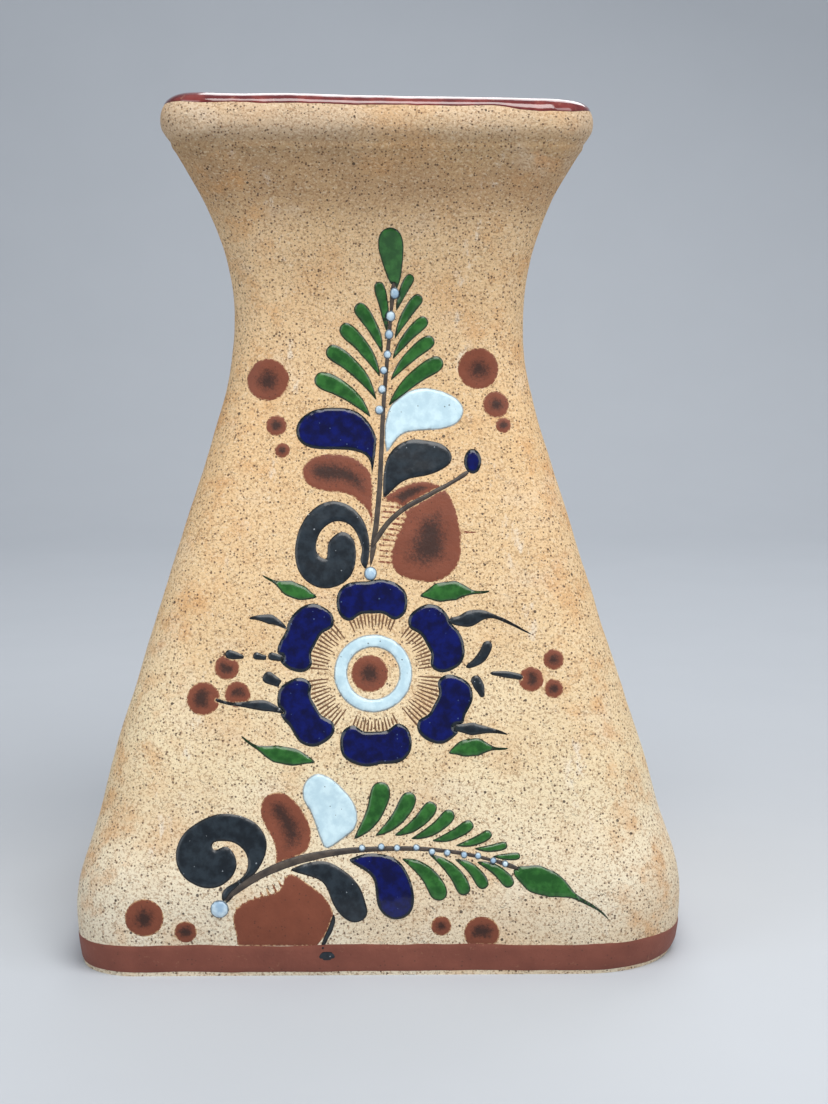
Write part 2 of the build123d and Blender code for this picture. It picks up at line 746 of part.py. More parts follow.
# ---- Assembly ---------------------------------------------------------------------------------------------
def clay_parts():
    """The six clay pieces."""
    outside, inside = body(), body(-WALL)
    shell = outside - inside
    parts = {
        name: shell & wedge(turn)
        for name, turn in (("front_wall", 0), ("right_wall", 90), ("back_wall", 180), ("left_wall", 270))
    }
    parts["floor_slab"] = inside & between(0, FLOOR)
    parts["lip_coil"] = swept_round_lip(lip_section())
    return parts


def glaze_parts():
    """The poured glazes and the slip band. The band is left open where the drip runs over it."""
    cavity = body(-WALL) & between(FLOOR, THROAT_Z)
    hollow = body(-WALL - GLAZE) & between(FLOOR + GLAZE, THROAT_Z + 1)
    band = (body(SLIP) - body()) & between(BAND_LOW, BELLY_Z)
    drip = below_belly(drip_sketch())
    for turn in (0, 180):
        band = band - Rot(0, 0, turn) * extrude(flat_plane(0) * drip, WALL, both=True)
    return {
        "liner_glaze": cavity - hollow,
        "rim_glaze": swept_round_lip(rim_glaze_section()),
        "foot_band": band,
    }


def enamel_parts():
    """Front pieces by name. The back repeats the front, turned half a turn, gathered by paint."""
    outside = body()
    front = Pos(0, -SHOULDER_HALF - WALL, HEIGHT * 0.7) * Box(BIG, 4 * WALL, HEIGHT * 0.6)
    skins = {thickness: (body(thickness) - outside) & front for thickness in (ENAMEL, SLIP)}
    parts = {}
    for name, paint, sketch in uncovered(front_panel()):
        thickness = SLIP if paint == "rust" else ENAMEL
        if paint == "rust":
            sketch = sketch & strip(0, BIG)
        solids = laid_on_wall(sketch, thickness, skins[thickness])
        parts["front_" + name] = solids
        parts.setdefault("back_" + paint, []).extend(Rot(0, 0, 180) * solid for solid in solids)
    return parts


def main():
    os.makedirs("parts", exist_ok=True)
    parts = clay_parts() | glaze_parts() | enamel_parts()
    for name, shape in parts.items():
        solids = shape if isinstance(shape, list) else shape.solids()
        export_step(Compound(solids) if len(solids) > 1 else solids[0], f"parts/{name}.step")


main()
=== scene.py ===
import json
import math

import bmesh
import bpy
import numpy as np
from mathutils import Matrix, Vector, noise
from mathutils.bvhtree import BVHTree
from mathutils.geometry import delaunay_2d_cdt


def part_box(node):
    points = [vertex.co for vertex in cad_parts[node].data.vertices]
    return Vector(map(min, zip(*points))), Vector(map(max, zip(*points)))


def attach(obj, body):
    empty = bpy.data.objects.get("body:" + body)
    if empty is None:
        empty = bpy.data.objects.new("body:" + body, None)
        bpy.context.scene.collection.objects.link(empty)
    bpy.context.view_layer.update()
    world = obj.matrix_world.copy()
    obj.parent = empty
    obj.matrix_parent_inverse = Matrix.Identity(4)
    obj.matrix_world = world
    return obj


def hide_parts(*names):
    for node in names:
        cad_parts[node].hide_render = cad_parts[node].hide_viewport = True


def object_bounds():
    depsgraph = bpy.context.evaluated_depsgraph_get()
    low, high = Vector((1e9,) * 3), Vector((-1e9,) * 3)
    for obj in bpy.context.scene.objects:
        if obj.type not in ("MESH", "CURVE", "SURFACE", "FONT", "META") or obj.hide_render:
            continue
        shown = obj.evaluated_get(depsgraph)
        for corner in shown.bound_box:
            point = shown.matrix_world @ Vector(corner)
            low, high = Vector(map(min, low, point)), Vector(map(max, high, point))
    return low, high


# The looks of a hand-built, square vase in sandy clay: rough speckled slabs, a glazed lip and raised enamel.
# Shapes are worked out in millimetres, in the row frame, and turned into metres when a mesh is made.

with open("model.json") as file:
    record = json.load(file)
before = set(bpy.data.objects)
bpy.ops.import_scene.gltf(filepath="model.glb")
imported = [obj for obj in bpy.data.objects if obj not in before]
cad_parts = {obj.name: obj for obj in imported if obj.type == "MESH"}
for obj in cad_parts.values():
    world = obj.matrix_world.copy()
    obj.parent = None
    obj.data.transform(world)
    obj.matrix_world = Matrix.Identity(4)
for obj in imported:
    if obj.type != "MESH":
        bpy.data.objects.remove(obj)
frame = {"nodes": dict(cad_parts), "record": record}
CAD_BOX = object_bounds()
MM = 0.001


def node_box(name):
    """A CAD node's lowest and highest corners in millimetres."""
    low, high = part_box(name)
    return np.array(low) / MM, np.array(high) / MM


# ---- Sizes ------------------------------------------------------------------------------------------------
# Heights read off the CAD nodes.
HEIGHT = CAD_BOX[1].z / MM
THROAT_Z = node_box("front_wall")[1][2]
FLOOR_Z = node_box("floor_slab")[1][2]
BAND_LOW = node_box("foot_band")[0][2]
BAND_HIGH = node_box("foot_band")[1][2]

# The slab thickness, the shoulder's height and the plan's corner radii, as in the CAD source.
WALL = 6.0
SHOULDER_Z = 168.0
FOOT_CORNERS = (18.0, 30.0, 18.0, 30.0)
SHOULDER_CORNER = 12.0
THROAT_CORNER = 14.0

# Rays at the very top or bottom of the slab could miss it, so they keep this far inside.
RAY_MARGIN = 0.2


def cad_half_widths():
    """Half width of the front slab at every millimetre of height, read off the CAD mesh with rays."""
    mesh = frame["nodes"]["front_wall"].data
    tree = BVHTree.FromPolygons([v.co for v in mesh.vertices], [p.vertices for p in mesh.polygons])
    heights = np.arange(0.0, THROAT_Z + 0.5)
    halves = []
    for z in np.clip(heights, RAY_MARGIN, THROAT_Z - RAY_MARGIN):
        hit = tree.ray_cast(Vector((0, -1, z * MM)), Vector((0, 1, 0)))[0]
        halves.append(-hit.y / MM)
    return heights, np.array(halves)


def softened(heights, halves, reach):
    """The same profile with its bends rounded: a Gaussian average, cut off at four reaches."""
    pad = int(reach * 4)
    first, last = halves[1] - halves[0], halves[-1] - halves[-2]
    steps = np.arange(1, pad + 1)
    long = np.concatenate([halves[0] - first * steps[::-1], halves, halves[-1] + last * steps])
    kernel = np.exp(-0.5 * (np.arange(-pad, pad + 1) / reach) ** 2)
    return heights, np.convolve(long, kernel / kernel.sum(), mode="valid")


PROFILE = softened(*cad_half_widths(), reach=6.0)

# How far the slabs bulge out above the foot, at what height, and over what reach.
BELLY_SWELL = 2.3
BELLY_SWELL_Z = 27.0
BELLY_SWELL_REACH = 14.0


def half_width(z):
    """Outside half width at height z, with the soft swell above the foot."""
    swell = BELLY_SWELL * np.exp(-(((z - BELLY_SWELL_Z) / BELLY_SWELL_REACH) ** 2))
    return np.interp(z, *PROFILE) + swell


def corner(which, z):
    """Radius of one corner of the outside at height z."""
    foot = FOOT_CORNERS[which % 4]
    below = foot + (SHOULDER_CORNER - foot) * np.minimum(z / SHOULDER_Z, 1)
    rise = np.clip((z - SHOULDER_Z) / (THROAT_Z - SHOULDER_Z), 0, 1)
    return below + (THROAT_CORNER - SHOULDER_CORNER) * rise


# ---- Surface points -------------------------------------------------------------------------------------
def side_point(side, t, half, left, right):
    """Plan position and outward direction on one side of a rounded square, from mid-corner to mid-corner.

    Side 0 is the front; t runs from 0 to 1 along it. Also gives the distance to the nearer mid-corner.
    """
    arc_l = left * math.pi / 4
    flat = 2 * half - left - right
    arc_r = right * math.pi / 4
    along = t * (arc_l + flat + arc_r)
    on_left, on_right = along < arc_l, along > arc_l + flat
    turn_right = np.where(on_right, (along - arc_l - flat) / right, 0.0)
    turn = np.where(on_left, along / left - math.pi / 4, turn_right)
    radius = np.where(on_left, left, right)
    middle = np.where(on_left, left - half, half - right)
    curved = on_left | on_right
    x = np.where(curved, middle + radius * np.sin(turn), along - arc_l + left - half)
    y = np.where(curved, radius - half - radius * np.cos(turn), -half)
    edge = np.minimum(along, arc_l + flat + arc_r - along)
    place = turned(side, x, y)
    return place, turned(side, np.sin(turn), -np.cos(turn)), edge


def turned(side, x, y):
    """Plan coordinates given for the front, turned round the axis to a side."""
    cosine, sine = math.cos(side * math.pi / 2), math.sin(side * math.pi / 2)
    return x * cosine - y * sine, x * sine + y * cosine


def noise_at(points, size):
    """Smooth noise from -1 to 1 whose bumps are about size millimetres across."""
    return np.array([noise.noise(Vector(p)) for p in points / size])


# The clay's unevenness everywhere: how wide the bumps of each noise are, and how high, in millimetres.
CLAY_NOISES = [(46.0, 0.55), (13.0, 0.22), (3.6, 0.07)]

# Single lumps and dents in the clay: place, radius and height, in millimetres.
LUMPS = [
    ((-63.0, -62.0, 257.5), 8.0, 1.6),
    ((-60.0, -66.0, 249.5), 3.6, 2.0),
    ((-54.0, -66.5, 251.5), 3.4, 1.2),
    ((-57.5, -66.0, 254.5), 2.2, -1.5),
    ((-51.0, -65.0, 249.0), 3.6, -1.5),
    ((-57.0, -62.0, 243.5), 4.5, -1.3),
    ((-53.0, -62.0, 239.0), 3.0, 0.9),
    ((40.0, -66.0, 256.0), 9.0, 0.5),
    ((62.0, 60.0, 257.0), 9.0, 0.9),
    ((91.0, -48.0, 22.0), 42.0, 2.2),
    ((-91.0, -60.0, 18.0), 26.0, 0.9),
]


def wobble(points):
    """How far the clay surface stands out from its true shape at each point."""
    out = np.zeros(len(points))
    for size, height in CLAY_NOISES:
        out += height * noise_at(points, size)
    for place, radius, height in LUMPS:
        away = ((points - np.array(place)) ** 2).sum(1) / radius**2
        out += height * np.exp(-away)
    return out


# The mouth slopes down to its right side by this much over its width, from this height up.
RIM_FALL = 1.5
RIM_FALL_FROM_Z = 205.0
MOUTH_WIDTH = 132.0


def settled(points):
    """Lowers the mouth towards its right side. The slope fades out down the neck."""
    share = np.clip((points[:, 2] - RIM_FALL_FROM_Z) / (HEIGHT - RIM_FALL_FROM_Z), 0, 1) ** 2
    fall = RIM_FALL * (points[:, 0] / MOUTH_WIDTH + 0.5)
    lower = points.copy()
    lower[:, 2] -= share * fall
    return lower


def slope_at(z):
    """How fast the half width grows with height at z."""
    return (half_width(z + 1) - half_width(z - 1)) / 2


LEAST_CORNER = 2.0


def wall_surface(side, t, z, depth=0.0, lift=0.0, rough=1.0):
    """Points on the outside at height z, moved in by depth, with the clay's wobble and then a lift on top."""
    half = half_width(z) - depth
    left = np.maximum(corner(side, z) - depth, LEAST_CORNER)
    right = np.maximum(corner(side + 1, z) - depth, LEAST_CORNER)
    (x, y), (nx, ny), edge = side_point(side, t, half, left, right)
    normals = np.stack([nx, ny, -slope_at(z)], 1)
    return shifted(np.stack([x, y, z], 1), normals, lift, rough), edge


# The wobble grows from nothing over this much height, so that the vase stands flat.
FOOT_FADE = 4.0


def shifted(points, normals, lift, rough=1.0):
    """Moves points out along their normals by the clay's wobble plus lift. The foot itself stays flat."""
    normals = normals / np.linalg.norm(normals, axis=1)[:, None]
    level = rough * np.clip(points[:, 2] / FOOT_FADE, 0, 1)
    out = wobble(points) * level + lift
    return settled(points + normals * np.reshape(out, (-1, 1)))


# ---- Mesh making ----------------------------------------------------------------------------------------
def grid_faces(rows, columns, start=0, wrap=False, flip=False):
    """Quads between neighbouring rows of a grid of points."""
    faces = []
    for i in range(rows - 1):
        for j in range(columns if wrap else columns - 1):
            a, b = start + i * columns + j, start + i * columns + (j + 1) % columns
            quad = (a, b, b + columns, a + columns)
            faces.append(quad[::-1] if flip else quad)
    return faces


SHARP_EDGE = math.radians(50)
SLOTS = {part["node"]: part["material_slot"] for part in frame["record"]["subparts"]}


def make_piece(name, points, faces, material, node, values=None):
    """One closed, smooth object from millimetre points. It stands for the CAD node and rides on root."""
    mesh = bpy.data.meshes.new(name)
    mesh.from_pydata([tuple(p) for p in np.asarray(points) * MM], [], faces)
    mesh.validate()
    for key, numbers in (values or {}).items():
        mesh.attributes.new(key, "FLOAT", "POINT").data.foreach_set("value", np.asarray(numbers, np.float32))
    mesh.polygons.foreach_set("use_smooth", [True] * len(mesh.polygons))
    mesh.materials.append(material)
    piece = bpy.data.objects.new(name, mesh)
    bpy.context.collection.objects.link(piece)
    outward(mesh)
    mesh.set_sharp_from_angle(angle=SHARP_EDGE)
    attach(piece, "root")
    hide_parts(node)


def outward(mesh):
    """Turns every face of a closed mesh outwards."""
    work = bmesh.new()
    work.from_mesh(mesh)
    bmesh.ops.recalc_face_normals(work, faces=work.faces)
    work.to_mesh(mesh)
    work.free()


# ---- Shader helpers -------------------------------------------------------------------------------------
# A grain's radius runs from the first of these shares of the stated radius up to the sum of both.
GRAIN_LEAST = 0.5
GRAIN_SPREAD = 0.6
COAT_ROUGHNESS = 0.08

# A mix node has a set of sockets for each kind of value. These are the places of the ones for colours.
MIX_FACTOR, MIX_FIRST, MIX_SECOND, MIX_RESULT = 0, 6, 7, 2


class Shader:
    """A short way to write node materials. Places and sizes are in millimetres."""

    def __init__(self, name):
        self.material = bpy.data.materials.new(name)
        self.material.use_nodes = True
        self.tree = self.material.node_tree
        self.surface = self.tree.nodes["Principled BSDF"]
        place = self.tree.nodes.new("ShaderNodeTexCoord").outputs["Object"]
        scaled = self.tree.nodes.new("ShaderNodeVectorMath")
        scaled.operation = "SCALE"
        scaled.inputs["Scale"].default_value = 1 / MM
        self.tree.links.new(place, scaled.inputs[0])
        self.place = scaled.outputs[0]

    def put(self, socket, value):
        """Links or sets an input."""
        if isinstance(value, bpy.types.NodeSocket):
            self.tree.links.new(value, socket)
        elif isinstance(value, tuple) and len(value) == 3 and socket.type == "RGBA":
            socket.default_value = (*value, 1.0)
        else:
            socket.default_value = value

    def math(self, operation, a, b, c=0.0):
        """One sum on two values, or three for MULTIPLY_ADD."""
        node = self.tree.nodes.new("ShaderNodeMath")
        node.operation = operation
        self.put(node.inputs[0], a)
        self.put(node.inputs[1], b)
        self.put(node.inputs[2], c)
        return node.outputs[0]

    def ramp(self, value, low, high):
        """0 at low to 1 at high, smoothly. low may be above high."""
        node = self.tree.nodes.new("ShaderNodeMapRange")
        node.interpolation_type = "SMOOTHSTEP"
        self.put(node.inputs["Value"], value)
        flip = low > high
        node.inputs["From Min"].default_value = high if flip else low
        node.inputs["From Max"].default_value = low if flip else high
        node.inputs["To Min"].default_value = 1.0 if flip else 0.0
        node.inputs["To Max"].default_value = 0.0 if flip else 1.0
        return node.outputs["Result"]

    def noise(self, size, detail=4.0, rough=0.55, stretch=None):
        """Noise from 0 to 1 with features about size millimetres across."""
        node = self.tree.nodes.new("ShaderNodeTexNoise")
        place = self.place
        if stretch:
            scaled = self.tree.nodes.new("ShaderNodeVectorMath")
            scaled.operation = "MULTIPLY"
            self.put(scaled.inputs[0], place)
            scaled.inputs[1].default_value = stretch
            place = scaled.outputs[0]
        self.put(node.inputs["Vector"], place)
        node.inputs["Scale"].default_value = 1 / size
        node.inputs["Detail"].default_value = detail
        node.inputs["Roughness"].default_value = rough
        return node.outputs["Fac"]

    def grains(self, spacing, radius, share):
        """Round grains of about the given radius: 1 inside a grain. That share of the cells has one."""
        cells = self.tree.nodes.new("ShaderNodeTexVoronoi")
        self.put(cells.inputs["Vector"], self.place)
        cells.inputs["Scale"].default_value = 1 / spacing
        split = self.tree.nodes.new("ShaderNodeSeparateColor")
        self.put(split.inputs[0], cells.outputs["Color"])
        chosen = self.math("LESS_THAN", split.outputs[0], share)
        full = radius / spacing
        size = self.math("MULTIPLY_ADD", split.outputs[1], GRAIN_SPREAD * full, GRAIN_LEAST * full)
        near = self.math("LESS_THAN", cells.outputs["Distance"], size)
        return self.math("MULTIPLY", chosen, near)

    def attribute(self, name):
        """A number stored on the mesh's points."""
        node = self.tree.nodes.new("ShaderNodeAttribute")
        node.attribute_name = name
        return node.outputs["Fac"]

    def height(self):
        """Height above the foot in millimetres."""
        node = self.tree.nodes.new("ShaderNodeSeparateXYZ")
        self.put(node.inputs[0], self.place)
        return node.outputs["Z"]

    def mix(self, factor, a, b):
        """Colour a where the factor is 0, colour b where it is 1."""
        node = self.tree.nodes.new("ShaderNodeMix")
        node.data_type = "RGBA"
        self.put(node.inputs[MIX_FACTOR], factor)
        self.put(node.inputs[MIX_FIRST], a)
        self.put(node.inputs[MIX_SECOND], b)
        return node.outputs[MIX_RESULT]

    def lay(self, color, tint, mask, amount):
        """A tint laid over a colour where the mask is 1, at this strength."""
        return self.mix(self.math("MULTIPLY", mask, amount), color, tint)

    def blotches(self, color, tint, amount, size, start, full, detail=4.0, rough=0.55, stretch=None):
        """Blotches of a tint, about size millimetres across: none where noise is at start, whole at full."""
        return self.lay(color, tint, self.ramp(self.noise(size, detail, rough, stretch), start, full), amount)

    def by_height(self, stops):
        """A colour that runs smoothly through (height, colour) stops."""
        z = self.height()
        low, color = stops[0]
        for high, following in stops[1:]:
            color = self.mix(self.ramp(z, low, high), color, following)
            low = high
        return color

    def bump(self, height, depth, previous=None):
        """Bump of the given depth in millimetres."""
        node = self.tree.nodes.new("ShaderNodeBump")
        node.inputs["Strength"].default_value = 1.0
        node.inputs["Distance"].default_value = depth * MM
        self.put(node.inputs["Height"], height)
        if previous:
            self.put(node.inputs["Normal"], previous)
        return node.outputs["Normal"]

    def finish(self, color, roughness, normal=None, coat=0.0, specular=0.5):
        """Sets the surface and gives back the material."""
        self.put(self.surface.inputs["Base Color"], color)
        self.put(self.surface.inputs["Roughness"], roughness)
        self.surface.inputs["Coat Weight"].default_value = coat
        self.surface.inputs["Coat Roughness"].default_value = COAT_ROUGHNESS
        self.surface.inputs["Specular IOR Level"].default_value = specular
        if normal:
            self.put(self.surface.inputs["Normal"], normal)
        return self.material


# ---- Materials ------------------------------------------------------------------------------------------
DARK_GRAIN = (0.10, 0.055, 0.035)
BROWN_GRAIN = (0.30, 0.155, 0.07)
BLACK_GRAIN = (0.045, 0.03, 0.025)
TAN = (0.70, 0.47, 0.245)
ORANGE = (0.64, 0.32, 0.115)
SAND = (0.86, 0.74, 0.55)
PALE_DUST = (0.85, 0.80, 0.71)

# The fired clay's colour by height in millimetres: creamy at the foot, tan above, painted shade under the
# lip.
CLAY_AND_LIP_SHADE_BY_HEIGHT = [
    (15.0, (0.80, 0.71, 0.545)),
    (65.0, (0.83, 0.69, 0.455)),
    (115.0, (0.78, 0.565, 0.325)),
    (160.0, (0.755, 0.525, 0.29)),
    (205.0, (0.80, 0.57, 0.33)),
    (220.0, (0.77, 0.545, 0.315)),
    # Painted shade: the two dark stops below stand in for the shadow under the overhanging lip.
    (240.0, (0.49, 0.315, 0.17)),
    (249.0, (0.45, 0.30, 0.165)),
    (255.0, (0.62, 0.46, 0.305)),
]


def clay_grain(s, color, strength=1.0):
    """Adds sand grains to a clay colour: pale and dark specks close together, and a few black ones."""
    grain = (1.0, 1.0, 1.3)
    color = s.blotches(
        color, SAND, 0.36 * strength, size=0.9, start=0.46, full=0.34, detail=2.0, rough=0.6, stretch=grain
    )
    color = s.blotches(
        color, BROWN_GRAIN, 0.60 * strength, size=0.75, start=0.50, full=0.60, detail=3.0, rough=0.7
    )
    color = s.lay(color, DARK_GRAIN, s.grains(spacing=1.0, radius=0.33, share=0.46), 0.85 * strength)
    return s.lay(color, BLACK_GRAIN, s.grains(spacing=4.0, radius=0.50, share=0.26), 0.85 * strength)


# How much the seam marks wander towards and away from the slab's side edge, in millimetres in all.
SEAM_DRIFT = 14.0


def seam_marks(s, color):
    """Rusty blushes close to the slab's side edges, and broken pale scuffs a little further in."""
    drift = s.noise(20.0, rough=0.6, stretch=(1.0, 1.0, 0.35))
    shift = s.math("MULTIPLY_ADD", drift, SEAM_DRIFT, -SEAM_DRIFT / 2)
    from_edge = s.math("ADD", s.attribute("edge_mm"), shift)
    cloud = s.ramp(s.noise(9.0, detail=5.0, rough=0.65), 0.46, 0.66)
    color = s.lay(color, ORANGE, s.math("MULTIPLY", cloud, s.ramp(from_edge, 20.0, 9.0)), 0.42)
    wipe = s.math("MULTIPLY", s.ramp(from_edge, 14.0, 17.0), s.ramp(from_edge, 23.0, 19.0))
    broken = s.ramp(s.noise(5.0, detail=5.0, rough=0.7, stretch=(1.0, 1.0, 0.4)), 0.54, 0.66)
    return s.lay(color, PALE_DUST, s.math("MULTIPLY", wipe, broken), 0.50)


def clay_material(name="speckled_clay", seams=True):
    """Sandy clay in patches of tan, rust and pale dust, painted shade under the lip, and marks beside the
    seams where there are any.
    """
    s = Shader(name)
    color = s.by_height(CLAY_AND_LIP_SHADE_BY_HEIGHT)
    color = s.blotches(color, TAN, 0.34, size=38.0, start=0.44, full=0.64)
    color = s.blotches(color, ORANGE, 0.30, size=18.0, start=0.50, full=0.70, detail=5.0, rough=0.6)
    streak = (1.0, 1.0, 1.4)
    color = s.blotches(
        color, PALE_DUST, 0.18, size=24.0, start=0.54, full=0.72, detail=5.0, rough=0.6, stretch=streak
    )
    if seams:
        color = seam_marks(s, color)
    color = clay_grain(s, color)
    sandy = s.bump(s.noise(0.9, rough=0.65), depth=0.42)
    pitted = s.bump(s.ramp(s.noise(2.6, detail=3.0), 0.40, 0.30), depth=0.25, previous=sandy)
    return s.finish(color, roughness=0.88, normal=pitted, specular=0.2)


BAND_DARK = (0.145, 0.043, 0.030)
BAND_LIGHT = (0.28, 0.092, 0.060)
BAND_WORN = (0.36, 0.19, 0.11)


def band_material():
    """Matte red-brown slip, a little paler where it is worn."""
    s = Shader("band_slip")
    color = s.mix(s.noise(9.0), BAND_DARK, BAND_LIGHT)
    color = s.blotches(color, BAND_WORN, 0.30, size=2.0, start=0.62, full=0.70, rough=0.7)
    color = s.lay(color, BLACK_GRAIN, s.grains(spacing=1.3, radius=0.26, share=0.30), 0.5)
    grainy = s.bump(s.noise(1.1, rough=0.6), depth=0.16)
    return s.finish(color, roughness=0.62, normal=grainy, specular=0.3)


RUST_DARK = (0.150, 0.041, 0.021)
RUST_LIGHT = (0.245, 0.072, 0.038)
RUST_CORE = (0.022, 0.012, 0.010)
RUST_SPECK = (0.03, 0.018, 0.015)


def rust_material():
    """Thin rust-brown slip. The core attribute brings black-brown stippling in the middle of a mark."""
    s = Shader("rust_slip")
    color = s.mix(s.noise(5.0), RUST_DARK, RUST_LIGHT)
    stipple = s.math("MULTIPLY_ADD", s.noise(6.0, detail=3.0), 0.5, s.noise(0.8, rough=0.8))
    core = s.math("MULTIPLY_ADD", stipple, 1.1, s.attribute("core"))
    color = s.lay(color, RUST_CORE, s.ramp(core, 1.10, 1.72), 0.88)
    color = s.lay(color, RUST_SPECK, s.grains(spacing=0.9, radius=0.22, share=0.34), 0.55)
    near_edge = s.ramp(s.attribute("edge_mm"), 0.5, 0.1)
    thin = s.math("MULTIPLY", near_edge, s.ramp(s.noise(0.8, detail=2.0), 0.45, 0.6))
    color = s.lay(color, TAN, thin, 0.7)
    grainy = s.bump(s.noise(1.0, rough=0.6), depth=0.12)
    return s.finish(color, roughness=0.50, normal=grainy, specular=0.3)


def enamel_material(name, deep, bright, rim, rim_mm=0.55, rough=0.16, flecks=None, coat=0.2):
    """Glassy enamel: mottled from deep to bright, a rim line round each mark, and small pits and flecks."""
    s = Shader(name)
    color = s.mix(s.ramp(s.noise(3.2, rough=0.6), 0.35, 0.68), deep, bright)
    unevenness = s.math("SUBTRACT", s.noise(1.3, detail=3.0), 0.5)
    from_edge = s.math("MULTIPLY_ADD", unevenness, 0.7, s.attribute("edge_mm"))
    color = s.lay(color, rim, s.ramp(from_edge, rim_mm * 1.5, rim_mm * 0.6), 0.9)
    if flecks:
        color = s.lay(color, flecks, s.grains(spacing=1.7, radius=0.24, share=0.26), 0.85)
    waved = s.bump(s.noise(2.0, detail=2.0), depth=0.05)
    pitted = s.bump(s.grains(spacing=2.4, radius=0.22, share=0.20), depth=-0.05, previous=waved)
    return s.finish(color, roughness=rough, normal=pitted, coat=coat, specular=0.35)


RIM_DARK = (0.115, 0.012, 0.012)
RIM_LIGHT = (0.21, 0.035, 0.028)
RIM_BROWN = (0.42, 0.26, 0.16)


def rim_material():
    """Dark red gloss with scattered paler brown patches."""
    s = Shader("maroon_glaze")
    color = s.mix(s.ramp(s.noise(7.0, detail=3.0), 0.35, 0.65), RIM_DARK, RIM_LIGHT)
    color = s.blotches(color, RIM_BROWN, 0.4, size=2.5, start=0.62, full=0.72, detail=3.0)
    return s.finish(color, roughness=0.12, normal=s.bump(s.noise(3.0, detail=2.0), depth=0.10), coat=0.8)


WET_DARK = (0.30, 0.155, 0.075)
WET_LIGHT = (0.42, 0.24, 0.12)


def liner_material():
    """Thin clear glaze over clay: wet brown."""
    s = Shader("clear_glaze")
    color = clay_grain(s, s.mix(s.noise(12.0, detail=3.0), WET_DARK, WET_LIGHT), strength=0.6)
    return s.finish(color, roughness=0.22, normal=s.bump(s.noise(2.4, detail=3.0), depth=0.12), coat=0.5)


# Each enamel's colours, the width of its rim line in millimetres and its finish.
ENAMELS = {
    "cobalt_enamel": {
        "deep": (0.0008, 0.0015, 0.038),
        "bright": (0.0015, 0.0055, 0.105),
        "rim": (0.004, 0.010, 0.010),
        "rim_mm": 0.8,
        "flecks": (0.06, 0.10, 0.22),
    },
    "green_enamel": {
        "deep": (0.013, 0.076, 0.013),
        "bright": (0.034, 0.152, 0.028),
        "rim": (0.010, 0.018, 0.009),
        "rim_mm": 0.35,
        "rough": 0.24,
    },
    "white_enamel": {
        "deep": (0.47, 0.64, 0.72),
        "bright": (0.60, 0.77, 0.83),
        "rim": (0.30, 0.33, 0.34),
        "rim_mm": 0.35,
        "rough": 0.2,
        "flecks": (0.10, 0.12, 0.14),
    },
    "charcoal_enamel": {
        "deep": (0.006, 0.010, 0.015),
        "bright": (0.020, 0.030, 0.040),
        "rim": (0.006, 0.006, 0.006),
        "rim_mm": 0.4,
        "rough": 0.3,
        "flecks": (0.30, 0.33, 0.36),
    },
    "pearl_enamel": {
        "deep": (0.32, 0.46, 0.60),
        "bright": (0.60, 0.74, 0.82),
        "rim": (0.10, 0.13, 0.16),
        "rim_mm": 0.3,
        "rough": 0.15,
    },
    "umber_line": {
        "deep": (0.040, 0.032, 0.028),
        "bright": (0.085, 0.065, 0.05),
        "rim": (0.035, 0.025, 0.02),
        "rim_mm": 0.2,
        "rough": 0.42,
        "coat": 0.05,
    },
    "fringe_brown": {
        "deep": (0.115, 0.052, 0.022),
        "bright": (0.20, 0.095, 0.042),
        "rim": (0.15, 0.075, 0.035),
        "rim_mm": 0.1,
        "rough": 0.6,
        "coat": 0.0,
    },
}
MATERIALS = {name: enamel_material(name, **look) for name, look in ENAMELS.items()}
MATERIALS["speckled_clay"] = clay_material()
MATERIALS["lip_clay"] = clay_material("lip_clay", seams=False)
MATERIALS["band_slip"] = band_material()
MATERIALS["rust_slip"] = rust_material()
MATERIALS["maroon_glaze"] = rim_material()
MATERIALS["clear_glaze"] = liner_material()


# ---- Clay slabs -----------------------------------------------------------------------------------------
WALL_COLUMNS = 140
WALL_ROWS = 200


def build_wall(name, side):
    """One slab as a closed shell: rough outside, smooth inside, mitred at the corners."""
    t, z = np.meshgrid(np.linspace(0, 1, WALL_COLUMNS), np.linspace(0, THROAT_Z, WALL_ROWS))
    t, z = t.ravel(), z.ravel()
    outer, edge = wall_surface(side, t, z)
    inner, _ = wall_surface(side, t, z, depth=WALL, rough=0.0)
    count = WALL_COLUMNS * WALL_ROWS
    faces = grid_faces(WALL_ROWS, WALL_COLUMNS)
    faces += grid_faces(WALL_ROWS, WALL_COLUMNS, count, flip=True)
    bottom = range(WALL_COLUMNS)
    right = range(WALL_COLUMNS - 1, count, WALL_COLUMNS)
    top = range(count - 1, count - WALL_COLUMNS - 1, -1)
    left = range(count - WALL_COLUMNS, -1, -WALL_COLUMNS)
    for line in (bottom, right, top, left):
        for a, b in zip(line, line[1:]):
            faces.append((b, a, a + count, b + count))
    values = {"edge_mm": np.concatenate([edge, edge])}
    points = np.concatenate([outer, inner])
    make_piece(name + "_clay", points, faces, MATERIALS["speckled_clay"], name, values)


# ---- Rings round the vase -------------------------------------------------------------------------------
def ring_places(columns):
    """Side and position along it for points all the way round."""
    per_side = columns // 4
    return [(side, np.arange(per_side) / per_side) for side in range(4)]


def wall_ring(columns, height, depth=0.0, lift=0.0, rough=1.0):
    """A closed ring of points on the wall. The height is a number or a function of the plan angle."""
    rows = []
    for side, t in ring_places(columns):
        z = height((side + t) * math.pi / 2) if callable(height) else np.full_like(t, height)
        rows.append(wall_surface(side, t, z, depth, lift, rough)[0])
    return np.concatenate(rows)


# How much closer together the finer waver of an edge is.
FINER = 3.1


def ragged(base, swing, bumps, seed):
    """A function of the plan angle. It gives a height that wavers about base, coarsely and finely."""
    def at(angle):
        places = np.stack([np.cos(angle) * bumps, np.sin(angle) * bumps, np.full_like(angle, seed)], 1)
        return base + swing * (noise_at(places, 1.0) + 0.5 * noise_at(places * FINER, 1.0))
    return at


